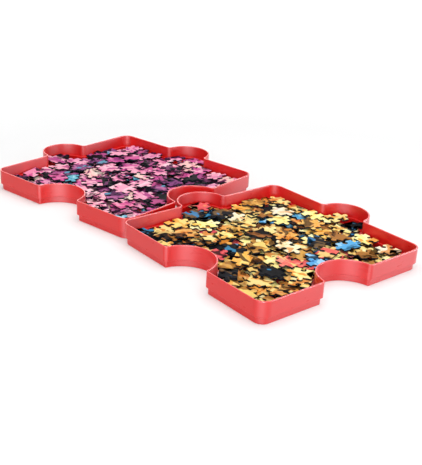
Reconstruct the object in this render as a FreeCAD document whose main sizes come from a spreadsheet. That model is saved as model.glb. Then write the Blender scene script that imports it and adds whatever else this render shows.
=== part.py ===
"""Jigsaw sorting trays: two interlocking trays shaped like jigsaw pieces, each with a heap of loose pieces.

Units are millimetres and +Z is up. The origin is the middle of the front tray's underside, on the table.
Each tray has knobs on its -X and +Y sides and sockets on its -Y and +X sides. The rear tray is on the -X
side and stands loosely interlocked: its +X socket holds the front tray's -X knob, but it is turned a little
on the table, so that its near corner stands against the front tray's side and the gap opens towards +Y.
"""
import FreeCAD, Part
import collections
import math
import os
import random

import Sketcher

V = FreeCAD.Vector
UP = V(0, 0, 1)

# Driving dimensions, in millimetres and degrees: name, value, meaning.
DIMENSIONS = [
    ("tray_side", 200.0, "side of a tray's square, without its knobs"),
    ("tray_gap", 0.5, "gap between the straight sides of two trays pushed fully together"),
    ("rear_turn", 11.2, "turn of the rear tray on the table against the front tray, in degrees"),
    ("rear_shift", 16.2, "how far the rear tray's middle stands towards -Y of the front tray's"),
    ("stand_gap", 0.3, "gap where the rear tray's turned corner stands against the front tray's side"),
    ("knob_radius", 27.0, "round knob, centred on the tray's side"),
    ("knob_clearance", 1.0, "gap between a knob and its socket, all round"),
    ("rim_height", 22.0, "table to the rim"),
    ("foot_height", 7.0, "height of the foot, which is set in to nest in the rim of a tray below"),
    ("nest_clearance", 0.6, "gap between a nested foot and the rim round it"),
    ("wall_thickness", 1.5, "moulded wall"),
    ("floor_thickness", 1.5, "moulded floor"),
    ("corner_inner_radius", 7.4, "radius of the well's corners"),
    ("lip_inner_radius", 0.6, "radius of the well's wall at a socket's lip"),
    ("rim_rounding", 0.45, "edge radius of the rim"),
    ("shoulder_rounding", 0.5, "edge radius of the shoulder above the foot"),
    ("base_rounding", 1.0, "edge radius round the underside"),
    ("piece_length", 18.4, "loose piece, corner to corner, along its long side"),
    ("piece_width", 16.8, "loose piece, corner to corner, along its short side"),
    ("piece_thickness", 2.0, "board of a loose piece"),
    ("tab_radius", 2.6, "round head of a loose piece's tab"),
    ("tab_reach", 3.1, "side of a loose piece to the middle of its tab's head"),
    ("neck_radius", 0.9, "fillet between a tab's head and the piece's side"),
    ("corner_wander", 1.0, "how far a loose piece's corners stray from the regular grid"),
    ("tab_wander", 1.2, "how far a tab strays from the middle of its side"),
    ("bed_depth", 8.0, "depth that the heap's snugly laid bed fills, from the tray's floor"),
    ("cover_depth", 13.4, "depth up to which pieces are laid over spots where the tray still shows"),
    ("fill_depth", 13.6, "depth of the whole heap, from the tray's floor to its highest piece's raised side"),
    ("mound", 2.0, "how much higher the heap may be in the middle of the tray than at its walls"),
    ("side_room", 0.5, "least gap between a loose piece and the tray's wall, before it tilts"),
    ("rest_gap", 0.05, "least gap between a loose piece and what it lies on"),
    ("bed_lie", 16.0, "steepest lie of a loose piece in the bed, in degrees"),
    ("top_lie", 33.0, "steepest lie of a loose piece on top of the bed, in degrees"),
]

# The loose pieces are sorted by colour: colour and its share of the tray's pieces.
REAR_COLOURS = [("pink", 0.32), ("magenta", 0.24), ("plum", 0.12), ("black", 0.15), ("teal", 0.08),
                ("cream", 0.09)]
FRONT_COLOURS = [("yellow", 0.34), ("orange", 0.22), ("brown", 0.13), ("black", 0.13), ("blue", 0.08),
                 ("cream", 0.06), ("coral", 0.04)]

REAR_SEED = 41
FRONT_SEED = 73
GRID_STEP = 1.0           # spacing of the height field on which the loose pieces are laid
CELL_REACH = 0.8          # grid cells whose middle is this near a piece count as touched by it
BESIDE_REACH = 2.2        # what stands this near a piece's edge counts as lying snugly beside it
SNUG_WORTH = 1.2          # height that a lie with neighbours all round is worth over one with none
COVER_WORTH = 4.0         # height that a lie wholly over bare spots of the tray is worth over one with none
MOST_SPOTS = 30           # most chance spots looked at for a loose piece, which is dropped round the lowest
BED_TRIES = 110           # chance places tried round that spot for a piece of the bed: the best is taken
COVER_TRIES = 240         # the same for a piece that is laid over a spot where the tray still shows
TOP_TRIES = 5             # the same for a piece on top, which lies more as it falls
BED_SQUARED = 0.3         # share of the bed's tries that are squared up with the tray's walls
COVER_SQUARED = 0.6       # the same for the pieces that are laid over bare spots
OFF_SQUARE = math.radians(6)
MISSES_TO_STOP = 40       # pieces in a row without a place low enough, after which a layer is full
EDGE_PIECE_SHARE = 0.14   # share of the loose pieces that have one straight side
PROBE_SHARE = 1 / 3       # how far from its middle a piece is probed first, as a share of its width
FAR = 1000.0              # further than anything in the set
MOST_SWAPS = 60           # most steps of the search for the plane that a piece rests on
MOST_LEFT = 0.5           # most of the solid tray that may be left once its well is cut
WALL_EDGE_SHARE = 0.4     # most of the wall that the rounding of one of its edges may take
FLOOR_EDGE_SHARE = 0.8    # most of the floor that the rounding round it may take
ARC_STEP = math.radians(15)
SAME_PLACE = 1e-6


# ---------------------------------------------------------------- document and dimensions

def make_sheet(doc):
    """Write the driving dimensions to a spreadsheet and return it."""
    sheet = doc.addObject("Spreadsheet::Sheet", "dims")
    for row, (name, value, meaning) in enumerate(DIMENSIONS, start=1):
        sheet.set(f"A{row}", name)
        sheet.set(f"B{row}", str(value))
        sheet.set(f"C{row}", meaning)
        sheet.setAlias(f"B{row}", name)
    doc.recompute()
    return sheet


# Sizes that follow from the sheet, as expressions for the features and sketches.
FOOT_INSET = "(dims.wall_thickness + dims.nest_clearance)"
WELL_INSET = f"({FOOT_INSET} + dims.wall_thickness)"
LEDGE_HEIGHT = "(dims.foot_height + dims.wall_thickness)"
CORNER_RADIUS = f"(dims.corner_inner_radius + {WELL_INSET})"
LIP_RADIUS = f"(dims.lip_inner_radius + {WELL_INSET})"
SOCKET_RADIUS = "(dims.knob_radius + dims.knob_clearance)"


class Tray:
    """The tray's sizes as numbers, read from the sheet."""

    def __init__(self, dims):
        self.half = dims.tray_side / 2
        self.gap = dims.tray_gap
        self.knob = dims.knob_radius
        self.socket = dims.knob_radius + dims.knob_clearance
        self.foot_inset = dims.wall_thickness + dims.nest_clearance
        self.well_inset = self.foot_inset + dims.wall_thickness
        self.ledge = dims.foot_height + dims.wall_thickness
        self.corner = dims.corner_inner_radius + self.well_inset
        self.lip = dims.lip_inner_radius + self.well_inset


# ---------------------------------------------------------------- outline of a tray

class Line:
    kind = "line"

    def __init__(self, start, end):
        self.start, self.end = start, end

    def edge(self):
        return Part.LineSegment(self.start, self.end)

    def points(self):
        return [self.start]


class Arc:
    """An arc about centre from start to end. It turns left where it is convex, and right where it isn't."""

    def __init__(self, kind, centre, start, end, convex):
        self.kind, self.centre, self.start, self.end, self.convex = kind, centre, start, end, convex
        self.radius = (start - centre).Length
        first, last = (start, end) if convex else (end, start)
        self.angle = math.atan2(first.y - centre.y, first.x - centre.x)
        self.sweep = (math.atan2(last.y - centre.y, last.x - centre.x) - self.angle) % (2 * math.pi)

    def edge(self):
        circle = Part.Circle(self.centre, UP, self.radius)
        return Part.ArcOfCircle(circle, self.angle, self.angle + self.sweep)

    def points(self):
        count = max(2, math.ceil(self.sweep / ARC_STEP))
        steps = range(count) if self.convex else range(count, 0, -1)
        turns = [self.angle + self.sweep * step / count for step in steps]
        return [self.centre + V(math.cos(turn), math.sin(turn), 0) * self.radius for turn in turns]


def towards(start, end, distance):
    """The point that lies a distance from start on the way to end."""
    return start + (end - start).normalize() * distance


def knob_arcs(tray, inset, place):
    """Root, knob and root again. place turns (along the side, out from the tray's middle) into a point."""
    root = tray.lip
    reach = math.sqrt((tray.knob + root) ** 2 - root ** 2)
    middle = place(0, tray.half)
    arcs = []
    for side in (-1, 1):
        centre = place(side * reach, tray.half + root)
        foot = place(side * reach, tray.half - inset)
        meet = towards(centre, middle, root + inset)
        arcs.append((centre, foot, meet))
    (first_centre, first_foot, first_meet), (last_centre, last_foot, last_meet) = arcs
    return [
        Arc("root", first_centre, first_foot, first_meet, False),
        Arc("knob", middle, first_meet, last_meet, True),
        Arc("root", last_centre, last_meet, last_foot, False),
    ]


def socket_arcs(tray, inset, place):
    """Lip, socket and lip again. The socket is concentric with the next tray's knob, a gap further out."""
    reach = math.sqrt((tray.socket + tray.lip) ** 2 - (tray.gap + tray.lip) ** 2)
    middle = place(0, tray.half + tray.gap)
    arcs = []
    for side in (-1, 1):
        centre = place(side * reach, tray.half - tray.lip)
        foot = place(side * reach, tray.half - inset)
        meet = towards(centre, middle, tray.lip - inset)
        arcs.append((centre, foot, meet))
    (first_centre, first_foot, first_meet), (last_centre, last_foot, last_meet) = arcs
    return [
        Arc("lip", first_centre, first_foot, first_meet, True),
        Arc("socket", middle, first_meet, last_meet, False),
        Arc("lip", last_centre, last_meet, last_foot, True),
    ]


# The sides in the order in which the outline goes round: direction along, direction out, what it carries.
SIDES = [
    (V(1, 0, 0), V(0, -1, 0), socket_arcs),
    (V(0, 1, 0), V(1, 0, 0), socket_arcs),
    (V(-1, 0, 0), V(0, 1, 0), knob_arcs),
    (V(0, -1, 0), V(-1, 0, 0), knob_arcs),
]


def tray_outline(tray, inset):
    """The tray's closed outline, set in by inset, as lines and tangent arcs that go round to the left."""
    outline = []
    flat = tray.half - tray.corner
    for along, out, feature in SIDES:
        def place(distance, height):
            return along * distance + out * height

        arcs = feature(tray, inset, place)
        corner_start = place(flat, tray.half - inset)
        corner_end = place(tray.half - inset, flat)
        outline.append(Line(place(-flat, tray.half - inset), arcs[0].start))
        outline.extend(arcs)
        outline.append(Line(arcs[-1].end, corner_start))
        outline.append(Arc("corner", place(flat, flat), corner_start, corner_end, True))
    return outline


def plane_of(body, role):
    """The body's own origin plane with this role."""
    return next(feature for feature in body.Origin.OriginFeatures if feature.Role == role)


def draw_outline(body, name, inset_rule, height_rule, tray, inset):
    """Sketch the tray's outline set in by inset, with its sizes bound to the sheet."""
    sketch = body.newObject("Sketcher::SketchObject", name)
    sketch.AttachmentSupport = [(plane_of(body, "XY_Plane"), "")]
    sketch.MapMode = "FlatFace"
    sketch.setExpression("AttachmentOffset.Base.z", height_rule)
    outline = tray_outline(tray, inset)
    sketch.addGeometry([part.edge() for part in outline], False)

    for index, part in enumerate(outline):
        after = (index + 1) % len(outline)
        end_point = 2 if part.kind == "line" or part.convex else 1
        start_point = 1 if outline[after].kind == "line" or outline[after].convex else 2
        sketch.addConstraint(Sketcher.Constraint("Tangent", index, end_point, after, start_point))

    radius_rules = {
        "corner": f"{CORNER_RADIUS} - {inset_rule}",
        "lip": f"{LIP_RADIUS} - {inset_rule}",
        "root": f"{LIP_RADIUS} + {inset_rule}",
        "knob": f"dims.knob_radius - {inset_rule}",
        "socket": f"{SOCKET_RADIUS} + {inset_rule}",
    }
    first_of_kind = {}
    for index, part in enumerate(outline):
        if part.kind == "line":
            pin_line(sketch, index, part, inset_rule)
            continue
        if part.kind in first_of_kind:
            sketch.addConstraint(Sketcher.Constraint("Equal", first_of_kind[part.kind], index))
        else:
            first_of_kind[part.kind] = index
            bind(sketch, Sketcher.Constraint("Radius", index, part.radius), radius_rules[part.kind])
        if part.kind == "knob":
            pin_centre(sketch, index, part, "dims.tray_side / 2")
        if part.kind == "socket":
            pin_centre(sketch, index, part, "dims.tray_side / 2 + dims.tray_gap")
    return sketch


def bind(sketch, constraint, rule):
    """Add a constraint whose value follows the sheet."""
    number = sketch.addConstraint(constraint)
    sketch.setExpression(f"Constraints[{number}]", rule)


ORIGIN_POINT = (-1, 1)    # Sketcher's numbers for the sketch's origin
X_AXIS = -1
Y_AXIS = -2


def pin_coordinate(sketch, index, point, place, axis, rule):
    """Hold one coordinate of a point at a distance from the origin, on the side where it lies."""
    coordinate = place.x if axis == "DistanceX" else place.y
    ends = (*ORIGIN_POINT, index, point) if coordinate > 0 else (index, point, *ORIGIN_POINT)
    bind(sketch, Sketcher.Constraint(axis, *ends, abs(coordinate)), rule)


def pin_line(sketch, index, part, inset_rule):
    """Keep a straight side parallel to its axis and at its distance from the tray's middle."""
    level = abs(part.end.y - part.start.y) < abs(part.end.x - part.start.x)
    sketch.addConstraint(Sketcher.Constraint("Horizontal" if level else "Vertical", index))
    axis = "DistanceY" if level else "DistanceX"
    pin_coordinate(sketch, index, 1, part.start, axis, f"dims.tray_side / 2 - {inset_rule}")


def pin_centre(sketch, index, part, rule):
    """Keep a knob's or socket's centre on an axis of the tray, at its distance from the middle."""
    centre_point = 3
    on_x_axis = abs(part.centre.x) > abs(part.centre.y)
    line = X_AXIS if on_x_axis else Y_AXIS
    sketch.addConstraint(Sketcher.Constraint("PointOnObject", index, centre_point, line))
    axis = "DistanceX" if on_x_axis else "DistanceY"
    pin_coordinate(sketch, index, centre_point, part.centre, axis, rule)


# ---------------------------------------------------------------- a tray

def extrude(body, kind, name, sketch, length_rule):
    """A Pad or a Pocket of a sketch, bound to the sheet."""
    feature = body.newObject(f"PartDesign::{kind}", name)
    feature.Profile = sketch
    feature.setExpression("Length", length_rule)
    return feature


def round_edges(body, name, height, radius_rule):
    """Round every edge of the body's tip that lies flat at this height."""
    base = body.Tip
    chosen = []
    for number, edge in enumerate(base.Shape.Edges, start=1):
        box = edge.BoundBox
        if box.ZLength < SAME_PLACE and abs(box.ZMin - height) < SAME_PLACE:
            chosen.append(f"Edge{number}")
    fillet = body.newObject("PartDesign::Fillet", name)
    fillet.Base = (base, chosen)
    fillet.setExpression("Radius", radius_rule)
    return fillet


def build_tray(doc, sheet, label):
    """One moulding: an upper band with a rim, a foot that is set in, and a well that follows both."""
    tray = Tray(sheet)
    body = doc.addObject("PartDesign::Body", label)
    body.Label = label

    band = draw_outline(body, f"{label}_band", "0", "dims.foot_height", tray, 0)
    extrude(body, "Pad", f"{label}_band_pad", band, "dims.rim_height - dims.foot_height")
    foot = draw_outline(body, f"{label}_foot", FOOT_INSET, "0", tray, tray.foot_inset)
    extrude(body, "Pad", f"{label}_foot_pad", foot, "dims.foot_height")
    doc.recompute()
    solid_volume = body.Shape.Volume

    mouth = draw_outline(body, f"{label}_mouth", "dims.wall_thickness", "dims.rim_height", tray,
                         sheet.wall_thickness)
    extrude(body, "Pocket", f"{label}_mouth_pocket", mouth, f"dims.rim_height - {LEDGE_HEIGHT}")
    well = draw_outline(body, f"{label}_well", WELL_INSET, LEDGE_HEIGHT, tray, tray.well_inset)
    extrude(body, "Pocket", f"{label}_well_pocket", well, f"{LEDGE_HEIGHT} - dims.floor_thickness")
    doc.recompute()
    if body.Shape.Volume > MOST_LEFT * solid_volume:
        raise RuntimeError(f"{label}: the well was not cut")

    wall_limit = f"{WALL_EDGE_SHARE} * dims.wall_thickness"
    floor_limit = f"{FLOOR_EDGE_SHARE} * dims.floor_thickness"
    for name, height, rule in (
        ("rim", sheet.rim_height, f"min(dims.rim_rounding; {wall_limit})"),
        ("shoulder", sheet.foot_height, f"min(dims.shoulder_rounding; {wall_limit})"),
        ("base", 0.0, f"min(dims.base_rounding; {floor_limit})"),
    ):
        round_edges(body, f"{label}_{name}_rounding", height, rule)
        doc.recompute()
    return body


# ---------------------------------------------------------------- a loose piece

def side_of_piece(sheet, start, end, tab, stray):
    """One side of a loose piece: straight (tab 0), with a tab (1) or with a blank (-1), going left round."""
    if tab == 0:
        return [Line(start, end)]
    along = (end - start).normalize()
    out = V(along.y, -along.x, 0) * tab
    neck, head, reach = sheet.neck_radius, sheet.tab_radius, sheet.tab_reach
    half_neck = math.sqrt((head + neck) ** 2 - (reach - neck) ** 2)
    foot = (start + end) * 0.5 + along * stray
    middle = foot + out * reach
    first_neck = foot - along * half_neck + out * neck
    last_neck = foot + along * half_neck + out * neck
    first_foot = foot - along * half_neck
    last_foot = foot + along * half_neck
    first_meet = towards(first_neck, middle, neck)
    last_meet = towards(last_neck, middle, neck)
    bulges = tab > 0
    return [
        Line(start, first_foot),
        Arc("neck", first_neck, first_foot, first_meet, not bulges),
        Arc("head", middle, first_meet, last_meet, bulges),
        Arc("neck", last_neck, last_meet, last_foot, not bulges),
        Line(last_foot, end),
    ]


def piece_outline(sheet, draw):
    """A loose piece with its own tabs, blanks and slightly uneven corners, about its middle."""
    corners = []
    for right, up in ((-1, -1), (1, -1), (1, 1), (-1, 1)):
        stray = V(draw.uniform(-1, 1), draw.uniform(-1, 1), 0) * (sheet.corner_wander / 2)
        corners.append(V(right * sheet.piece_length / 2, up * sheet.piece_width / 2, 0) + stray)
    tabs = [draw.choice((-1, 1)) for _ in corners]
    if draw.random() < EDGE_PIECE_SHARE:
        tabs[draw.randrange(len(tabs))] = 0
    outline = []
    for index, tab in enumerate(tabs):
        stray = draw.uniform(-1, 1) * sheet.tab_wander / 2
        after = corners[(index + 1) % len(corners)]
        outline.extend(side_of_piece(sheet, corners[index], after, tab, stray))
    return outline


# ---------------------------------------------------------------- the height field

class HeightField:
    """The height on which something dropped into the tray comes to rest, on a square grid of cells."""

    def __init__(self, tray, sheet):
        room = sheet.side_room + GRID_STEP - CELL_REACH
        mouth = self.cells_inside(tray, sheet.wall_thickness + room)
        well = self.cells_inside(tray, tray.well_inset + room)
        self.heights = {cell: sheet.floor_thickness if cell in well else tray.ledge for cell in mouth}
        self.cells = sorted(mouth)
        self.bare = dict.fromkeys(self.cells)

    @staticmethod
    def cells_inside(tray, inset):
        """The cells whose middle lies inside the tray's outline, set in by inset."""
        return cells_in([point for part in tray_outline(tray, inset) for point in part.points()])

    def at(self, point):
        """The height at a point, without end outside the tray."""
        return self.heights.get((round(point.x / GRID_STEP), round(point.y / GRID_STEP)), math.inf)

    def low_spot(self, draw):
        """The lowest of some chance spots."""
        spots = draw.choices(self.cells, k=draw.randint(1, MOST_SPOTS))
        column, row = min(spots, key=self.heights.get)
        return column * GRID_STEP, row * GRID_STEP

    def bare_spot(self, draw):
        """A chance spot where the tray itself still shows, or a low spot if there is none."""
        if not self.bare:
            return self.low_spot(draw)
        column, row = draw.choice(list(self.bare))
        return column * GRID_STEP, row * GRID_STEP


def cells_in(points):
    """The grid cells, as whole numbers of steps, whose middle lies inside a polygon."""
    crossings = {}
    for index, end in enumerate(points):
        start = points[index - 1]
        low, high = (start, end) if start.y < end.y else (end, start)
        for row in range(math.ceil(low.y / GRID_STEP), math.ceil(high.y / GRID_STEP)):
            share = (row * GRID_STEP - low.y) / (high.y - low.y)
            crossings.setdefault(row, []).append(low.x + (high.x - low.x) * share)
    cells = set()
    for row, places in crossings.items():
        places.sort()
        for left, right in zip(places[::2], places[1::2]):
            for column in range(math.ceil(left / GRID_STEP), math.floor(right / GRID_STEP) + 1):
                cells.add((column, row))
    return cells


def spread(points, distance):
    """A left-going closed polygon's corners, each moved out by a distance."""
    moved = []
    for index, point in enumerate(points):
        along = points[(index + 1) % len(points)] - points[index - 1]
        moved.append(point + V(along.y, -along.x, 0).normalize() * distance)
    return moved


def lowest_plane(points):
    """The lowest plane through (0, 0) that lies on or over all points: its height there and its two slopes.

    It rests on three of the points, whose triangle holds (0, 0), as a dropped board does. The search starts
    from a wide triangle far below and swaps in the point that stands out most until none does.
    """
    held = [(FAR, -FAR, -FAR), (0.0, FAR, -FAR), (-FAR, -FAR, -FAR)]
    for _ in range(MOST_SWAPS):
        height, slope_x, slope_y = plane_through(held)
        worst = max(points, key=lambda point: point[2] - slope_x * point[0] - slope_y * point[1])
        if worst[2] - slope_x * worst[0] - slope_y * worst[1] <= height + SAME_PLACE:
            break
        for index in range(3):
            swapped = [worst if other == index else point for other, point in enumerate(held)]
            if holds_middle(swapped):
                held = swapped
                break
        else:
            break
    height = max(point[2] - slope_x * point[0] - slope_y * point[1] for point in points)
    return height, slope_x, slope_y


def plane_through(points):
    """The height over (0, 0) and the slopes of the plane through three points."""
    (x0, y0, z0), (x1, y1, z1), (x2, y2, z2) = points
    area = (x1 - x0) * (y2 - y0) - (x2 - x0) * (y1 - y0)
    slope_x = ((z1 - z0) * (y2 - y0) - (z2 - z0) * (y1 - y0)) / area
    slope_y = ((x1 - x0) * (z2 - z0) - (x2 - x0) * (z1 - z0)) / area
    return z0 - slope_x * x0 - slope_y * y0, slope_x, slope_y


def holds_middle(points):
    """True if the triangle of three points, seen from above, holds (0, 0) and isn't a sliver."""
    turns = []
    for index, (x1, y1, _) in enumerate(points):
        x0, y0, _ = points[index - 1]
        turns.append(x0 * y1 - x1 * y0)
    return abs(sum(turns)) > SAME_PLACE and (min(turns) >= 0 or max(turns) <= 0)


# ---------------------------------------------------------------- the heap

class Lie:
    """Where a loose piece lies: its middle, the turn it was dropped with, and the plane that it rests on."""

    def __init__(self, x, y, turn, height, slope_x, slope_y):
        self.x, self.y, self.turn = x, y, turn
        self.height, self.slope_x, self.slope_y = height, slope_x, slope_y

    def placement(self, thickness):
        """The placement of a board of this thickness, drawn upwards from its outline."""
        upright = V(-self.slope_x, -self.slope_y, 1)
        core = self.height + upright.Length * thickness / 2
        tilt = FreeCAD.Rotation(UP, upright)
        spin = FreeCAD.Rotation(UP, math.degrees(self.turn))
        turned_about_core = FreeCAD.Placement(V(self.x, self.y, core), tilt.multiply(spin))
        return turned_about_core.multiply(FreeCAD.Placement(V(0, 0, -thickness / 2), FreeCAD.Rotation()))


def turned(points, x, y, turn):
    cos, sin = math.cos(turn), math.sin(turn)
    return [V(x + cos * point.x - sin * point.y, y + sin * point.x + cos * point.y, 0) for point in points]


def try_lie(field, sheet, shape, x, y, turn, limit, steepest):
    """Where a piece comes to rest when it is dropped here, or None if that is rated over limit.

    shape holds three rings: points inside the piece, the edge of the cells that it touches, and points
    just beside it. A lie is rated by the height of its raised side, less what its neighbours and the bare
    spots under it are worth.
    """
    probes, edge, beside = shape
    probes = turned(probes, x, y, turn)
    for first, second in zip(probes[::2], probes[1::2]):
        if (field.at(first) + field.at(second)) / 2 >= limit + SNUG_WORTH + COVER_WORTH:
            return None
    cells = cells_in(turned(edge, x, y, turn))
    if not cells <= field.heights.keys():
        return None
    under = [
        (column * GRID_STEP - x, row * GRID_STEP - y, field.heights[column, row]) for column, row in cells
    ]
    height, slope_x, slope_y = lowest_plane(under)
    slope = math.hypot(slope_x, slope_y)
    if slope > math.tan(math.radians(steepest)):
        return None
    height += sheet.rest_gap + (abs(slope_x) + abs(slope_y)) * GRID_STEP / 2
    raised = height + slope * sheet.piece_length / 2
    ring = turned(beside, x, y, turn)
    walled = sum(field.at(point) > height + sheet.piece_thickness / 2 for point in ring) / len(ring)
    covered = len(cells & field.bare.keys()) / len(cells)
    rating = raised - SNUG_WORTH * walled - COVER_WORTH * covered
    return (rating, raised, Lie(x, y, turn, height, slope_x, slope_y), cells) if rating < limit else None


def settle(field, sheet, lie, cells):
    """Raise the height field to the top of a piece that has come to rest."""
    slope = abs(lie.slope_x) + abs(lie.slope_y)
    board = sheet.piece_thickness * math.sqrt(1 + lie.slope_x ** 2 + lie.slope_y ** 2) + slope * GRID_STEP / 2
    for column, row in cells:
        right, up = column * GRID_STEP - lie.x, row * GRID_STEP - lie.y
        top = lie.height + lie.slope_x * right + lie.slope_y * up + board
        field.heights[column, row] = max(field.heights[column, row], top)
        field.bare.pop((column, row), None)


def piece_solid(sheet, outline, lie):
    """The piece's board, standing on its outline, laid where it came to rest."""
    wire = Part.Wire([part.edge().toShape() for part in outline])
    solid = Part.Face(wire).extrude(V(0, 0, sheet.piece_thickness))
    solid.Placement = lie.placement(sheet.piece_thickness)
    return solid


# A layer of the heap: how deep it fills the tray, the steepest lie of its pieces, how many chance places are
# tried for each, which share of them is squared up with the tray's walls, and how a piece's spot is chosen.
Layer = collections.namedtuple("Layer", "depth steepest tries squared spot")


def pour_heap(sheet, colours, seed):
    """Fill a tray with a snugly laid bed of loose pieces, cover its bare spots, then drop more on top."""
    draw = random.Random(seed)
    field = HeightField(Tray(sheet), sheet)
    heap = {name: [] for name, _ in colours}
    for layer in (
        Layer(sheet.bed_depth, sheet.bed_lie, BED_TRIES, BED_SQUARED, field.low_spot),
        Layer(sheet.cover_depth, sheet.top_lie, COVER_TRIES, COVER_SQUARED, field.bare_spot),
        Layer(sheet.fill_depth, sheet.top_lie, TOP_TRIES, 0, field.low_spot),
    ):
        misses = 0
        while misses < MISSES_TO_STOP:
            outline = piece_outline(sheet, draw)
            best = best_lie(field, sheet, outline, draw, layer)
            if best is None:
                misses += 1
                continue
            misses = 0
            lie, cells = best
            settle(field, sheet, lie, cells)
            colour = draw.choices(list(heap), [share for _, share in colours])[0]
            heap[colour].append(piece_solid(sheet, outline, lie))
    return heap


def best_lie(field, sheet, outline, draw, layer):
    """The best of some lies round a spot, with the cells that it covers, or None if all are too high."""
    points = [point for part in outline for point in part.points()]
    near = sheet.piece_width * PROBE_SHARE
    probes = [V(), V(), V(near, near), V(-near, -near), V(near, -near), V(-near, near)]
    shape = (probes, spread(points, CELL_REACH), spread(points, BESIDE_REACH))
    full = sheet.floor_thickness + layer.depth - sheet.piece_thickness
    spot_x, spot_y = layer.spot(draw)
    best, limit = None, full
    for _ in range(layer.tries):
        x = spot_x + draw.uniform(-1, 1) * sheet.piece_length / 2
        y = spot_y + draw.uniform(-1, 1) * sheet.piece_length / 2
        if draw.random() < layer.squared:
            turn = draw.randrange(4) * math.pi / 2 + draw.uniform(-1, 1) * OFF_SQUARE
        else:
            turn = draw.uniform(0, 2 * math.pi)
        found = try_lie(field, sheet, shape, x, y, turn, limit, layer.steepest)
        lowered = sheet.mound * (2 * max(abs(x), abs(y)) / sheet.tray_side) ** 2
        if found and found[1] < full - lowered:
            limit, _, *best = found
    return best


# ---------------------------------------------------------------- the whole set

# The middle of a corner's rounding stands this far from the tray's middle along X once the tray is turned.
TURNED_CORNER = f"(dims.tray_side / 2 - {CORNER_RADIUS}) * (cos(dims.rear_turn) + sin(dims.rear_turn))"
REAR_PLACE = {
    "Placement.Base.x": f"-(dims.tray_side / 2 + dims.stand_gap + {CORNER_RADIUS} + {TURNED_CORNER})",
    "Placement.Base.y": "-dims.rear_shift",
    "Placement.Rotation.Angle": "dims.rear_turn",
}
FRONT_PLACE = {"Placement.Rotation.Angle": "0"}


def place_on_table(item, rules):
    """Move a tray or its loose pieces, which are made about the tray's own middle, to the tray's place."""
    item.Placement = FreeCAD.Placement(V(), FreeCAD.Rotation(UP, 1))
    for target, rule in rules.items():
        item.setExpression(target, rule)


def build_set():
    doc = FreeCAD.newDocument("sorting_trays")
    sheet = make_sheet(doc)
    items = []
    for side, place, colours, seed in (
        ("rear", REAR_PLACE, REAR_COLOURS, REAR_SEED),
        ("front", FRONT_PLACE, FRONT_COLOURS, FRONT_SEED),
    ):
        tray = build_tray(doc, sheet, f"{side}_tray")
        place_on_table(tray, place)
        items.append(tray)
        for colour, solids in pour_heap(sheet, colours, seed).items():
            label = f"{side}_{colour}_pieces"
            group = doc.addObject("Part::Feature", label)
            group.Label = label
            group.Shape = Part.makeCompound(solids)
            place_on_table(group, place)
            items.append(group)
    doc.recompute()
    return doc, items


def check(doc, items):
    """Stop if any feature failed or any sub-part's shape is empty or faulty."""
    for feature in doc.Objects:
        if {"Invalid", "Error"} & set(feature.State):
            raise RuntimeError(f"{feature.Label} failed: {feature.State}")
    for item in items:
        if item.Shape.isNull() or not item.Shape.isValid() or not item.Shape.Solids:
            raise RuntimeError(f"{item.Label} has no valid solid")


def write(items):
    os.makedirs("parts", exist_ok=True)
    for item in items:
        item.Shape.exportStep(f"parts/{item.Label}.step")
        print(f"{item.Label}: {len(item.Shape.Solids)} solids, {item.Shape.Volume:.0f} mm3")


doc, items = build_set()
check(doc, items)
write(items)
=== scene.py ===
"""The looks of two jigsaw sorting trays: glossy red mouldings and two heaps of printed loose pieces.

Lengths are in metres unless a name or comment says otherwise, in the CAD frame. The trays are swept along
their outline from the same sizes as the CAD solids. Each loose piece is rebuilt on its CAD solid's outline
and plane, with the rounded printed edge and the cut sides of real die-cut board.
"""
import math
import random

import bpy
import numpy as np
from mathutils import Matrix, Vector


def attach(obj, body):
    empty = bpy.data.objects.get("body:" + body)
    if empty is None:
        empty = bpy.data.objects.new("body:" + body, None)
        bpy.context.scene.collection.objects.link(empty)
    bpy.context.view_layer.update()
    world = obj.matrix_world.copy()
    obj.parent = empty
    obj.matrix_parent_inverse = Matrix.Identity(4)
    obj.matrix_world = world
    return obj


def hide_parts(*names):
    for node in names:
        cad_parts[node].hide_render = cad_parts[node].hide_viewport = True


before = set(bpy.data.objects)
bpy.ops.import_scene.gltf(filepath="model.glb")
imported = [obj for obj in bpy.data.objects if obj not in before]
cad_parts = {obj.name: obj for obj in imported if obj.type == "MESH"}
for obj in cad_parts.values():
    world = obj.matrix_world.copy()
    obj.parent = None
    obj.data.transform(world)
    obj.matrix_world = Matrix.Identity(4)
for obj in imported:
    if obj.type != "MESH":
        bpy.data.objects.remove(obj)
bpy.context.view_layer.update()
MM = 0.001


# ---------------------------------------------------------------- tray outline, in millimetres

TRAY_SIDE, TRAY_GAP = 200.0, 0.5
KNOB_RADIUS, KNOB_CLEARANCE = 27.0, 1.0
RIM_HEIGHT, FOOT_HEIGHT = 22.0, 7.0
WALL, NEST_CLEARANCE, FLOOR = 1.5, 0.6, 1.5
CORNER_INNER_RADIUS, LIP_INNER_RADIUS = 7.4, 0.6
FOOT_INSET = WALL + NEST_CLEARANCE
WELL_INSET = FOOT_INSET + WALL
LEDGE = FOOT_HEIGHT + WALL
CORNER_RADIUS = CORNER_INNER_RADIUS + WELL_INSET
LIP_RADIUS = LIP_INNER_RADIUS + WELL_INSET
HALF = TRAY_SIDE / 2

# How the rear tray stands on the table: turned, with its near corner beside the front tray's side.
REAR_TURN, REAR_SHIFT, STAND_GAP = math.radians(11.2), 16.2, 0.3
TURNED_CORNER = (HALF - CORNER_RADIUS) * (math.cos(REAR_TURN) + math.sin(REAR_TURN))
TRAY_PLACES = {           # middle and turn
    "rear": (-(HALF + STAND_GAP + CORNER_RADIUS + TURNED_CORNER), -REAR_SHIFT, REAR_TURN),
    "front": (0.0, 0.0, 0.0),
}

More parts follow.
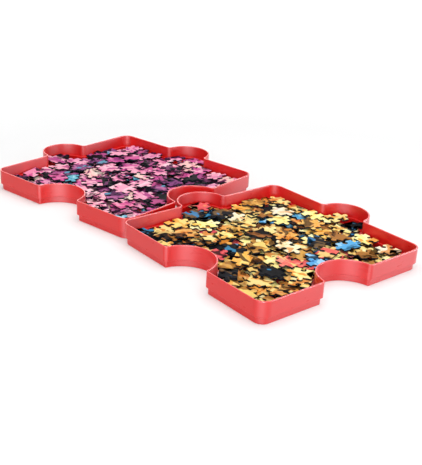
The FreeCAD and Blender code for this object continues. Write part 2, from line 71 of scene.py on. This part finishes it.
ARC_STEPS = {"corner": 12, "lip": 10, "root": 10, "knob": 64, "socket": 56}
LINE_SHARES = (0.006, 0.02, 0.2, 0.5, 0.8, 0.98, 0.994)     # where a straight side gets points
SAME_PLACE = 1e-6         # ends of arcs nearer than this need no straight side between them


def socket_arcs():
    """(kind, centre, radius, bulges, first direction, last direction) in a side's own axes: along, out."""
    socket = KNOB_RADIUS + KNOB_CLEARANCE
    drop = TRAY_GAP + LIP_RADIUS
    reach = math.sqrt((socket + LIP_RADIUS) ** 2 - drop ** 2)
    return [
        ("lip", (-reach, HALF - LIP_RADIUS), LIP_RADIUS, True, (0, 1), (reach, drop)),
        ("socket", (0, HALF + TRAY_GAP), socket, False, (-reach, -drop), (reach, -drop)),
        ("lip", (reach, HALF - LIP_RADIUS), LIP_RADIUS, True, (-reach, drop), (0, 1)),
    ]


def knob_arcs():
    """The same for a side that carries a knob."""
    root = LIP_RADIUS
    reach = math.sqrt((KNOB_RADIUS + root) ** 2 - root ** 2)
    return [
        ("root", (-reach, HALF + root), root, False, (0, -1), (reach, -root)),
        ("knob", (0, HALF), KNOB_RADIUS, True, (-reach, root), (reach, root)),
        ("root", (reach, HALF + root), root, False, (-reach, -root), (0, -1)),
    ]


def tray_arcs():
    """All arcs of the outline, going left round: centre, radius, bulges, first angle, sweep, steps."""
    flat = HALF - CORNER_RADIUS
    corner = ("corner", (flat, flat), CORNER_RADIUS, True, (0, 1), (1, 0))
    found = []
    for along, out, arcs in (
        ((1, 0), (0, -1), socket_arcs()),
        ((0, 1), (1, 0), socket_arcs()),
        ((-1, 0), (0, 1), knob_arcs()),
        ((0, -1), (-1, 0), knob_arcs()),
    ):
        turn = np.array([along, out], float)
        for kind, centre, radius, bulges, first, last in arcs + [corner]:
            first, last = np.array(first, float) @ turn, np.array(last, float) @ turn
            angle = math.atan2(first[1], first[0])
            sweep = math.atan2(last[1], last[0]) - angle
            sweep = sweep % (2 * math.pi) if bulges else -(-sweep % (2 * math.pi))
            found.append((np.array(centre, float) @ turn, radius, bulges, angle, sweep, ARC_STEPS[kind]))
    return found


TRAY_ARCS = tray_arcs()


def tray_ring(inset):
    """The tray's outline set in by inset, as points that match those of any other inset one to one."""
    runs = []
    for centre, radius, bulges, angle, sweep, steps in TRAY_ARCS:
        turns = angle + sweep * np.linspace(0, 1, steps + 1)
        length = radius - inset if bulges else radius + inset
        runs.append(centre + length * np.stack([np.cos(turns), np.sin(turns)], 1))
    points = []
    for index, run in enumerate(runs):
        start, end = run[-1], runs[(index + 1) % len(runs)][0]
        if np.hypot(*(end - start)) > SAME_PLACE:
            points += [run, start + (end - start) * np.array(LINE_SHARES)[:, None]]
        else:
            points.append(run[:-1])
    return np.concatenate(points)


# ---------------------------------------------------------------- tray profile, in millimetres

FOOT_ROUND, SHOULDER_ROUND, RIM_ROUND, LEDGE_ROUND, FLOOR_ROUND = 1.0, 0.5, 0.45, 0.35, 0.4
FOOT_STEPS, RIM_STEPS, ROUND_STEPS = 6, 5, 4
SUPPORT = 0.12            # beyond each rounded edge, a point this far on keeps the flat's shading flat


def rounded(inset, height, radius, across, up, first, steps=ROUND_STEPS):
    """Profile points round an edge. across and up give the side of the edge's arc centre."""
    centre = (inset + across * radius, height + up * radius)
    points = []
    for step in range(steps + 1):
        turn = math.pi / 2 * step / steps
        level, sunk = math.cos(turn), math.sin(turn)
        if first == "level":
            level, sunk = sunk, level
        points.append((centre[0] - across * radius * level, centre[1] - up * radius * sunk))
    start, end = points[0], points[-1]
    if first == "level":
        return [(start[0] + across * SUPPORT, start[1])] + points + [(end[0], end[1] + up * SUPPORT)]
    return [(start[0], start[1] + up * SUPPORT)] + points + [(end[0] + across * SUPPORT, end[1])]


def tray_profile():
    """Inset and height, from the middle of the underside, up the outside, over the rim and down the well."""
    profile = rounded(FOOT_INSET, 0.0, FOOT_ROUND, 1, 1, "level", FOOT_STEPS)
    profile += rounded(FOOT_INSET, FOOT_HEIGHT, SHOULDER_ROUND, -1, -1, "upright")
    profile += rounded(0.0, FOOT_HEIGHT, SHOULDER_ROUND, 1, 1, "level")
    profile += rounded(0.0, RIM_HEIGHT, RIM_ROUND, 1, -1, "upright", RIM_STEPS)
    profile += rounded(WALL, RIM_HEIGHT, RIM_ROUND, -1, -1, "level", RIM_STEPS)
    profile += rounded(WALL, LEDGE, LEDGE_ROUND, 1, 1, "upright")
    profile += rounded(WELL_INSET, LEDGE, LEDGE_ROUND, -1, -1, "level")
    profile += rounded(WELL_INSET, FLOOR, FLOOR_ROUND, 1, 1, "upright")
    return profile


# ---------------------------------------------------------------- meshes

def new_object(name, points, quads, outlines=()):
    """A smooth mesh object from its points, four-cornered faces and faces with any number of corners."""
    mesh = bpy.data.meshes.new(name)
    corners = np.concatenate([np.asarray(quads, np.int32).ravel(), *outlines]).astype(np.int32)
    sizes = [4] * len(quads) + [len(outline) for outline in outlines]
    mesh.vertices.add(len(points))
    mesh.vertices.foreach_set("co", np.asarray(points, np.float32).ravel())
    mesh.loops.add(len(corners))
    mesh.loops.foreach_set("vertex_index", corners)
    mesh.polygons.add(len(sizes))
    mesh.polygons.foreach_set("loop_start", np.concatenate([[0], np.cumsum(sizes)[:-1]]).astype(np.int32))
    mesh.polygons.foreach_set("use_smooth", np.ones(len(sizes), bool))
    mesh.update(calc_edges=True)
    mesh.validate()
    obj = bpy.data.objects.new(name, mesh)
    bpy.context.scene.collection.objects.link(obj)
    return obj


def skin(count, rings, base=0):
    """The faces between closed rings of count points each, and the two end faces, of points from base on."""
    here = np.arange(count)
    after = (here + 1) % count
    lower = base + count * np.arange(rings - 1)[:, None]
    quads = np.stack([lower + here, lower + after, lower + count + after, lower + count + here], -1)
    return quads.reshape(-1, 4), [base + here[::-1], base + count * (rings - 1) + here]


def turning_by(angle):
    """The matrix that turns rows of x and y to the left by an angle."""
    return np.array([[math.cos(angle), math.sin(angle)], [-math.sin(angle), math.cos(angle)]])


def build_tray(side):
    """One moulding: its profile swept round its outline as a closed shell, where the tray stands."""
    x, y, turn = TRAY_PLACES[side]
    profile = tray_profile()
    rings = [tray_ring(inset) @ turning_by(turn) + (x, y) for inset, _ in profile]
    count = len(rings[0])
    points = np.concatenate([
        np.column_stack([ring, np.full(count, height)]) for ring, (_, height) in zip(rings, profile)
    ]) * MM
    return new_object(f"{side}_tray_moulding", points, *skin(count, len(rings)))


# ---------------------------------------------------------------- loose pieces

SAME_SPOT = 2e-6          # m: CAD points nearer than this are one
FACING_UP = 0.9           # the least rise of the normal of a board's upper face
TINY_AREA = 1e-20         # stands in for the area of a triangle that has none
LONG_EDGE = 2.0           # mm: longer edges of a CAD outline are its straight runs
SHARPEST_ARC = math.radians(62)
CORNER_CUT = 0.5          # mm: how far from a piece's corner its rounding starts
CORNER_SHARES = (0.0, 0.25, 0.5, 0.75, 1.0)       # where a corner's rounding gets points
MOST_BOW = 0.28           # mm: how far a straight run may bow inwards
BOW_SHARES = (0.2, 0.35, 0.5, 0.65, 0.8)          # where a bowed run gets points
LEAST_MITRE = 0.4         # holds back the sharpest corners of an outline that is set in
BOARD_PROFILE = [         # inset and height, in mm, from the middle of the back to the middle of the face
    (0.34, 0.0), (0.16, 0.0), (0.05, 0.06), (0.0, 0.2), (0.0, 0.8), (0.0, 1.45),
    (0.03, 1.66), (0.1, 1.83), (0.21, 1.95), (0.33, 2.0), (0.45, 2.0),
]
BOARD_THICKNESS = BOARD_PROFILE[-1][1]
PRINT_FROM = 5            # the ring of the profile at which the printed paper starts


def solids_of(mesh):
    """The node's separate solids: for each, its points and triangles with doubled points joined."""
    count = len(mesh.vertices)
    co = np.empty(count * 3, np.float64)
    mesh.vertices.foreach_get("co", co)
    co = co.reshape(-1, 3)
    _, first, same = np.unique(np.round(co / SAME_SPOT).astype(np.int64), axis=0, return_index=True,
                               return_inverse=True)
    mesh.calc_loop_triangles()
    corners = np.empty(len(mesh.loop_triangles) * 3, np.int32)
    mesh.loop_triangles.foreach_get("vertices", corners)
    triangles = same.reshape(-1)[corners.reshape(-1, 3)]
    label = np.arange(len(first))
    while True:
        lower = label.copy()
        np.minimum.at(lower, triangles.ravel(), np.repeat(label[triangles].min(1), 3))
        lower = lower[lower]
        if (lower == label).all():
            break
        label = lower
    owner = label[triangles[:, 0]]
    return [(co[first], triangles[owner == solid]) for solid in np.unique(owner)]


def face_outline(spots, triangles):
    """A board's upper face: its outline going left round, in mm in its own plane, and that plane's axes."""
    a, b, c = (spots[triangles[:, index]] for index in range(3))
    normals = np.cross(b - a, c - a)
    areas = np.linalg.norm(normals, axis=1)
    is_face = normals[:, 2] / np.maximum(areas, TINY_AREA) > FACING_UP
    up = normals[is_face].sum(0)
    up /= np.linalg.norm(up)
    edges = set()
    for triangle in triangles[is_face].tolist():
        for index in range(3):
            edges.add((triangle[index], triangle[(index + 1) % 3]))
    after = {start: end for start, end in edges if (end, start) not in edges}
    start = min(after)
    loop, spot = [start], after[start]
    while spot != start:
        loop.append(spot)
        spot = after[spot]
    if len(loop) != len(after):
        raise RuntimeError("a loose piece's face has more than one outline")
    corners = spots[loop]
    middle = corners.mean(0)
    right = np.cross((0.0, 1.0, 0.0), up)
    right /= np.linalg.norm(right)
    back = np.cross(up, right)
    flat = np.stack([(corners - middle) @ right, (corners - middle) @ back], 1) / MM
    return flat, middle, np.array([right, back, up])


def turning(before, here, after):
    """How far an outline turns left at a point."""
    first, second = here - before, after - here
    return math.atan2(first[0] * second[1] - first[1] * second[0], first @ second)


def refined(points):
    """The outline with a point added on each arc between every two of its points."""
    count = len(points)
    made = []
    for index in range(count):
        before, start, end, after = (points[(index + step) % count] for step in (-1, 0, 1, 2))
        made.append(start)
        chord = end - start
        length = math.hypot(*chord)
        if length > LONG_EDGE:
            continue
        turns = []
        for turn, other in ((turning(before, start, end), start - before),
                            (turning(start, end, after), after - end)):
            other_length = math.hypot(*other)
            if other_length <= LONG_EDGE and abs(turn) < SHARPEST_ARC:
                turns.append(turn * length / (length + other_length))
        if turns:
            bulge = length / 2 * math.tan(sum(turns) / len(turns) / 2)
            made.append((start + end) / 2 + np.array([chord[1], -chord[0]]) / length * bulge)
    return np.array(made)


def softened(points, draw):
    """Bow the straight runs slightly inwards, as cutting dies do, and round the corners."""
    count = len(points)
    made = []
    for index in range(count):
        before, here, after = points[index - 1], points[index], points[(index + 1) % count]
        if abs(turning(before, here, after)) > SHARPEST_ARC:
            back = (before - here) / math.hypot(*(before - here))
            ahead = (after - here) / math.hypot(*(after - here))
            for share in CORNER_SHARES:
                made.append(here + CORNER_CUT * (back * (1 - share) ** 2 + ahead * share ** 2))
        else:
            made.append(here)
        run = after - here
        length = math.hypot(*run)
        if length > LONG_EDGE:
            inwards = np.array([-run[1], run[0]]) / length
            bow = draw.uniform(0, MOST_BOW)
            for share in BOW_SHARES:
                made.append(here + run * share + inwards * bow * math.sin(math.pi * share) ** 2)
    return np.array(made)


def set_in(points, inset):
    """A left-going closed outline moved inwards."""
    along = np.roll(points, -1, 0) - points
    along /= np.linalg.norm(along, axis=1)[:, None]
    inwards = np.stack([-along[:, 1], along[:, 0]], 1)
    inwards_before = np.roll(inwards, 1, 0)
    mitre = np.maximum(1 + (inwards_before * inwards).sum(1), LEAST_MITRE)
    return points + (inwards_before + inwards) * (inset / mitre)[:, None]


def build_loose_pieces(node, seed):
    """All loose pieces of one CAD node as one object, with what each one's print reads as attributes."""
    draw = random.Random(seed)
    rings = len(BOARD_PROFILE)
    points, quads, outlines, print_at, tone, ply = [], [], [], [], [], []
    is_board, end_is_board, base = [], [], 0
    for spots, triangles in solids_of(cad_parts[node].data):
        flat, middle, axes = face_outline(spots, triangles)
        outline = softened(refined(flat), draw)
        count = len(outline)
        offset = np.array([draw.uniform(-1, 1) for _ in range(3)])
        spin = turning_by(draw.uniform(0, 2 * math.pi))
        on_print = np.column_stack([(outline * MM) @ spin, np.zeros(count)]) + offset
        for inset, height in BOARD_PROFILE:
            below_face = np.full(count, height - BOARD_THICKNESS)
            points.append(middle + (np.column_stack([set_in(outline, inset), below_face]) * MM) @ axes)
            print_at.append(on_print)
            ply.append(np.full(count, height / BOARD_THICKNESS))
        tone.append(np.full(count * rings, draw.random()))
        sides, ends = skin(count, rings, base)
        quads.append(sides)
        outlines += ends
        is_board.append(np.arange(len(sides)) < count * PRINT_FROM)
        end_is_board += [True, False]
        base += count * rings
    obj = new_object(node[:-len("_pieces")] + "_jigsaw_pieces", np.concatenate(points),
                     np.concatenate(quads), outlines)
    mesh = obj.data
    for name, kind, key, values in (("print_at", "FLOAT_VECTOR", "vector", print_at),
                                    ("tone", "FLOAT", "value", tone), ("ply", "FLOAT", "value", ply)):
        layer = mesh.attributes.new(name, kind, "POINT")
        layer.data.foreach_set(key, np.concatenate(values).astype(np.float32).ravel())
    slots = np.concatenate(is_board + [end_is_board]).astype(np.int32)
    mesh.polygons.foreach_set("material_index", slots)
    return obj


# ---------------------------------------------------------------- materials

class Nodes:
    """A material's node tree, with short calls for the nodes used here."""

    def __init__(self, name):
        self.material = bpy.data.materials.new(name)
        self.material.use_nodes = True
        self.tree = self.material.node_tree
        self.shader = self.tree.nodes["Principled BSDF"]

    def link(self, value, socket):
        """Link an output to the socket, or set the socket to a plain value."""
        if isinstance(value, bpy.types.NodeSocket):
            self.tree.links.new(value, socket)
        else:
            socket.default_value = value

    def add(self, kind, **inputs):
        """A new node, with its inputs by name and an underscore for each space."""
        node = self.tree.nodes.new("ShaderNode" + kind)
        for name, value in inputs.items():
            self.link(value, node.inputs[name.replace("_", " ")])
        return node

    def attribute(self, name, output):
        node = self.add("Attribute")
        node.attribute_name = name
        return node.outputs[output]

    def place(self):
        return self.add("TexCoord").outputs["Object"]

    def stretched(self, vector, scale):
        return self.add("Mapping", Vector=vector, Scale=scale).outputs["Vector"]

    def noise(self, vector, scale=1.0, detail=2.0, roughness=0.5, distortion=0.0):
        return self.add("TexNoise", Vector=vector, Scale=scale, Detail=detail, Roughness=roughness,
                        Distortion=distortion).outputs["Fac"]

    def ramp(self, factor, stops):
        """Colours with a straight blend between the places of the stops."""
        node = self.add("ValToRGB", Fac=factor)
        elements = node.color_ramp.elements
        while len(elements) < len(stops):
            elements.new(1.0)
        for element, (place, colour) in zip(elements, stops):
            element.position = place
            element.color = (*colour, 1.0)
        return node.outputs["Color"]

    def math(self, operation, first, second):
        node = self.add("Math")
        node.operation = operation
        self.link(first, node.inputs[0])
        self.link(second, node.inputs[1])
        return node.outputs[0]

    def span(self, value, to, over=(0.0, 1.0)):
        """The value, carried from the range that it is over to another, and held inside that."""
        return self.add("MapRange", Value=value, From_Min=over[0], From_Max=over[1], To_Min=to[0],
                        To_Max=to[1]).outputs["Result"]

    def mix(self, factor, first, second):
        """Two colours mixed. A colour is an output or three numbers."""
        node = self.add("Mix")
        node.data_type = "RGBA"
        self.link(factor, node.inputs["Factor"])
        for name, value in (("A", first), ("B", second)):
            socket = next(item for item in node.inputs if item.name == name and item.type == "RGBA")
            self.link((*value, 1.0) if isinstance(value, tuple) else value, socket)
        return next(item for item in node.outputs if item.type == "RGBA")

    def tint(self, colour, hue, saturation, value):
        return self.add("HueSaturation", Color=colour, Hue=hue, Saturation=saturation,
                        Value=value).outputs["Color"]

    def bump(self, height, distance, strength):
        return self.add("Bump", Height=height, Distance=distance, Strength=strength).outputs["Normal"]

    def finish(self, **sockets):
        """Set the shader's sockets, named as in add, and return the material."""
        for name, value in sockets.items():
            self.link(value, self.shader.inputs[name.replace("_", " ")])
        return self.material


def linear(red, green, blue):
    """A colour from its 0 to 255 screen values."""
    return tuple(
        (value / 255 / 12.92 if value <= 10 else ((value / 255 + 0.055) / 1.055) ** 2.4)
        for value in (red, green, blue)
    )


def red_plastic():
    """Moulded plastic: faint flow marks, a fine grain, and a soft clear gloss over a saturated red."""
    nodes = Nodes("red_plastic")
    place = nodes.place()
    cloud = nodes.noise(place, scale=8.0)
    colour = nodes.ramp(cloud, [(0.3, linear(219, 20, 17)), (0.7, linear(224, 24, 21))])
    flow = nodes.noise(nodes.stretched(place, (9.0, 9.0, 60.0)))
    colour = nodes.mix(nodes.span(flow, to=(0.0, 0.04), over=(0.45, 0.75)), colour, linear(200, 19, 16))
    scuff = nodes.noise(nodes.stretched(place, (50.0, 50.0, 160.0)), detail=4.0, roughness=0.6)
    grain = nodes.noise(place, scale=2200.0)
    height = nodes.math("ADD", grain, nodes.math("MULTIPLY", cloud, 3.0))
    return nodes.finish(
        Base_Color=colour, Roughness=nodes.span(scuff, to=(0.27, 0.33), over=(0.35, 0.7)),
        Specular_IOR_Level=0.25, IOR=1.46, Coat_Weight=0.6, Coat_Roughness=0.42,
        Normal=nodes.bump(height, distance=0.00002, strength=0.2),
    )


def printed_paper(name, dark, deep, main, light, accent):
    """Printed paper in soft-edged fields of a few colours, another part of the pattern on each piece."""
    nodes = Nodes(name)
    at = nodes.attribute("print_at", "Vector")
    tone = nodes.attribute("tone", "Fac")
    fields = nodes.noise(at, scale=56.0, distortion=0.9)
    fields = nodes.math("ADD", fields, nodes.span(tone, to=(-0.07, 0.07)))
    colour = nodes.ramp(fields, [
        (0.35, dark), (0.37, deep), (0.415, deep), (0.435, main), (0.55, main), (0.61, light),
    ])
    patches = nodes.noise(nodes.stretched(at, (40.0, 64.0, 40.0)), distortion=0.6)
    colour = nodes.mix(nodes.span(patches, to=(0.0, 0.9), over=(0.57, 0.6)), colour, accent)
    strokes = nodes.noise(nodes.stretched(at, (110.0, 430.0, 110.0)), detail=3.0, roughness=0.55,
                          distortion=0.7)
    colour = nodes.mix(nodes.span(strokes, to=(0.0, 0.22), over=(0.5, 0.74)), colour, deep)
    flecks = nodes.noise(at, scale=1400.0)
    lightness = nodes.math("MULTIPLY", nodes.span(tone, to=(0.9, 1.08)),
                           nodes.span(flecks, to=(0.96, 1.04), over=(0.3, 0.7)))
    colour = nodes.tint(
        colour, hue=nodes.span(tone, to=(0.49, 0.51)),
        saturation=nodes.span(strokes, to=(1.06, 0.95), over=(0.3, 0.7)), value=lightness,
    )
    weave = nodes.noise(at, scale=900.0, detail=3.0)
    return nodes.finish(
        Base_Color=colour, Roughness=nodes.span(weave, to=(0.5, 0.62), over=(0.3, 0.7)),
        Specular_IOR_Level=0.02, Normal=nodes.bump(weave, distance=0.00004, strength=0.5),
    )


def cut_board():
    """The sides and back of a piece: dark grey board in plies, roughened by the cut."""
    nodes = Nodes("cut_board")
    at = nodes.attribute("print_at", "Vector")
    ply = nodes.attribute("ply", "Fac")
    fibres = nodes.noise(nodes.stretched(at, (700.0, 700.0, 1.0)), detail=4.0, roughness=0.6)
    layers = nodes.noise(nodes.math("MULTIPLY", ply, 7.0))
    layers = nodes.math("ADD", layers, nodes.span(fibres, to=(-0.15, 0.15)))
    colour = nodes.ramp(layers, [
        (0.3, linear(28, 34, 42)), (0.5, linear(42, 49, 58)), (0.72, linear(72, 81, 92)),
    ])
    return nodes.finish(
        Base_Color=colour, Roughness=nodes.span(fibres, to=(0.85, 0.95)), Specular_IOR_Level=0.02,
        Normal=nodes.bump(fibres, distance=0.00012, strength=0.6),
    )


# Print colours by node colour: darkest fields, deep, main, light and patches, from 0 to 255.
REAR_PRINTS = {
    "pink": ((64, 22, 56), (222, 110, 160), (246, 166, 192), (252, 204, 216), (170, 60, 128)),
    "magenta": ((30, 12, 36), (164, 56, 122), (214, 96, 154), (238, 146, 182), (246, 176, 198)),
    "plum": ((14, 8, 20), (84, 38, 80), (134, 68, 120), (186, 104, 154), (96, 160, 188)),
    "black": ((6, 6, 9), (12, 11, 16), (20, 17, 24), (118, 62, 102), (188, 86, 142)),
    "teal": ((10, 16, 28), (54, 122, 154), (112, 184, 210), (172, 220, 232), (26, 20, 36)),
    "cream": ((104, 46, 80), (244, 172, 176), (254, 212, 200), (255, 234, 222), (222, 108, 160)),
}
FRONT_PRINTS = {
    "yellow": ((36, 24, 14), (240, 184, 92), (254, 234, 150), (255, 245, 186), (226, 140, 64)),
    "orange": ((28, 16, 10), (214, 130, 54), (242, 174, 90), (252, 212, 130), (60, 40, 26)),
    "brown": ((16, 12, 10), (112, 72, 36), (172, 116, 58), (216, 160, 88), (244, 208, 124)),
    "black": ((6, 6, 9), (13, 13, 17), (20, 20, 25), (112, 84, 56), (66, 136, 186)),
    "blue": ((10, 18, 34), (48, 118, 182), (96, 176, 226), (162, 214, 242), (26, 26, 34)),
    "cream": ((92, 66, 38), (244, 214, 156), (255, 243, 202), (255, 249, 226), (226, 158, 86)),
    "coral": ((70, 24, 24), (214, 78, 74), (238, 108, 102), (250, 150, 132), (250, 214, 134)),
}


# ---------------------------------------------------------------- the set

plastic = red_plastic()
board = cut_board()
for side in ("rear", "front"):
    tray = build_tray(side)
    tray.data.materials.append(plastic)
    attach(tray, f"{side}_tray")
    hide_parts(f"{side}_tray")

for side, prints in (("rear", REAR_PRINTS), ("front", FRONT_PRINTS)):
    for number, (colour, tones) in enumerate(prints.items()):
        heap = build_loose_pieces(f"{side}_{colour}_pieces", f"{side} {number}")
        heap.data.materials.append(printed_paper(f"{side}_{colour}_print", *(linear(*rgb) for rgb in tones)))
        heap.data.materials.append(board)
        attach(heap, f"{side}_pieces")
        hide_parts(f"{side}_{colour}_pieces")


# ---------------------------------------------------------------- floor and light

FLOOR_SIZE = 6.0
FLOOR_TONE = 0.7          # how much of the light that falls on it the floor throws back
FLOOR_GLOW = 0.25         # what the floor gives off where it is seen near the trays, so that it shows white
FAR_GLOW = 1.0            # the same from FAR_OUT on, where less light falls
NEAR_BY, FAR_OUT = 0.45, 2.0                      # from the front tray's middle
WORLD_LIGHT = 0.35        # what the white surroundings give off as a light

SET_MIDDLE = (-0.1, 0.0, 0.0)
FRONT_TRAY, ABOVE_FRONT_TRAY = (0.0, 0.0, 0.0), (0.0, 0.0, 0.08)
CARD_COLOUR = (0.84, 0.93, 1.0)
LAMPS = {                 # soft lights, and cards that show in gloss only
    "overhead": dict(place=(0.0, 0.1, 1.5), target=SET_MIDDLE, size=(1.8, 1.8), power=21.5),
    "front_fill": dict(place=(0.9, -1.3, 0.5), target=SET_MIDDLE, size=(2.0, 0.7), power=12.0),
    "right_fill": dict(place=(1.4, 0.2, 0.5), target=SET_MIDDLE, size=(1.2, 0.6), power=4.0),
    "right_card": dict(place=(0.9, 0.86, 0.1), target=ABOVE_FRONT_TRAY, size=(1.4, 0.18), power=74.0,
                       colour=CARD_COLOUR, gloss_only=True),
    "front_card": dict(place=(0.9, -1.0, 0.1), target=ABOVE_FRONT_TRAY, size=(1.2, 0.18), power=88.0,
                       colour=CARD_COLOUR, gloss_only=True),
    "rim_card": dict(place=(-1.1, 0.9, 0.55), target=FRONT_TRAY, size=(1.6, 0.5), power=7.0,
                     gloss_only=True),
}


def seen_level(tree, unseen):
    """One for rays from the camera and those that show in gloss or glass, and unseen for all others."""
    path = tree.nodes.new("ShaderNodeLightPath")
    level = tree.nodes.new("ShaderNodeMapRange")
    level.inputs["To Min"].default_value = unseen
    either = path.outputs["Is Camera Ray"]
    for name in ("Is Glossy Ray", "Is Transmission Ray"):
        most = tree.nodes.new("ShaderNodeMath")
        most.operation = "MAXIMUM"
        tree.links.new(either, most.inputs[0])
        tree.links.new(path.outputs[name], most.inputs[1])
        either = most.outputs[0]
    tree.links.new(either, level.inputs["Value"])
    return level.outputs["Result"]


def build_floor():
    """A floor that keeps the trays' shadow, and glows where it is seen, more so where less light falls."""
    size = FLOOR_SIZE
    corners = [(-size, -size, 0), (size, -size, 0), (size, size, 0), (-size, size, 0)]
    floor = new_object("floor", corners, [(0, 1, 2, 3)])
    nodes = Nodes("floor_white")
    nodes.finish(Base_Color=(FLOOR_TONE, FLOOR_TONE, FLOOR_TONE, 1), Roughness=0.9, Specular_IOR_Level=0.0)
    nearness = nodes.add("TexGradient", Vector=nodes.stretched(nodes.place(), (1 / FAR_OUT,) * 3))
    nearness.gradient_type = "SPHERICAL"
    level = nodes.span(nearness.outputs["Fac"], to=(FAR_GLOW, FLOOR_GLOW), over=(0.0, 1 - NEAR_BY / FAR_OUT))
    glow = nodes.add("Emission", Strength=nodes.math("MULTIPLY", seen_level(nodes.tree, 0.0), level))
    both = nodes.add("AddShader")
    nodes.link(nodes.shader.outputs[0], both.inputs[0])
    nodes.link(glow.outputs[0], both.inputs[1])
    nodes.link(both.outputs[0], nodes.tree.nodes["Material Output"].inputs["Surface"])
    floor.data.materials.append(nodes.material)


def add_area(name, place, target, size, power, colour=(1, 1, 1), gloss_only=False):
    """A soft light. One that is gloss_only shows in glossy surfaces, as a white card does, and no more."""
    light = bpy.data.lights.new(name, "AREA")
    light.shape = "RECTANGLE"
    light.size, light.size_y = size
    light.energy = power
    light.color = colour
    obj = bpy.data.objects.new(name, light)
    obj.visible_diffuse = not gloss_only
    obj.location = place
    obj.rotation_euler = (Vector(place) - Vector(target)).to_track_quat("Z", "Y").to_euler()
    bpy.context.scene.collection.objects.link(obj)


def set_world(strength):
    """White all round: at full strength where it is seen, and at strength as a light."""
    world = bpy.data.worlds.new("studio")
    world.use_nodes = True
    tree = world.node_tree
    background = tree.nodes["Background"]
    background.inputs["Color"].default_value = (1, 1, 1, 1)
    tree.links.new(seen_level(tree, strength), background.inputs["Strength"])
    bpy.context.scene.world = world


# ---------------------------------------------------------------- camera

# The camera was fitted to the trays' rims: azimuth, elevation and roll in degrees, focal length in pixels.
IMAGE_WIDTH, IMAGE_HEIGHT = 422, 465
CAMERA_AZIMUTH, CAMERA_ELEVATION, CAMERA_ROLL = 49.84, 23.18, 3.07
CAMERA_FOCUS = 831.5
CAMERA_PLACE = (0.51070, -0.50278, 0.32612)
SENSOR_WIDTH = 36.0       # mm


def set_camera():
    azimuth, elevation, roll = (math.radians(a) for a in (CAMERA_AZIMUTH, CAMERA_ELEVATION, CAMERA_ROLL))
    back = Vector((math.sin(azimuth) * math.cos(elevation), -math.cos(azimuth) * math.cos(elevation),
                   math.sin(elevation)))
    level = (-back).cross(Vector((0, 0, 1))).normalized()
    upright = level.cross(-back)
    right = math.cos(roll) * level + math.sin(roll) * upright
    up = -math.sin(roll) * level + math.cos(roll) * upright
    data = bpy.data.cameras.new("camera")
    data.sensor_width = SENSOR_WIDTH
    data.lens = CAMERA_FOCUS / max(IMAGE_WIDTH, IMAGE_HEIGHT) * SENSOR_WIDTH
    camera = bpy.data.objects.new("camera", data)
    turn = Matrix((right, up, back)).transposed().to_4x4()
    camera.matrix_world = Matrix.Translation(Vector(CAMERA_PLACE)) @ turn
    bpy.context.scene.collection.objects.link(camera)
    bpy.context.scene.camera = camera


build_floor()
set_world(WORLD_LIGHT)
for name, lamp in LAMPS.items():
    add_area(name, **lamp)
set_camera()

scene = bpy.context.scene
scene.view_settings.view_transform = "Standard"
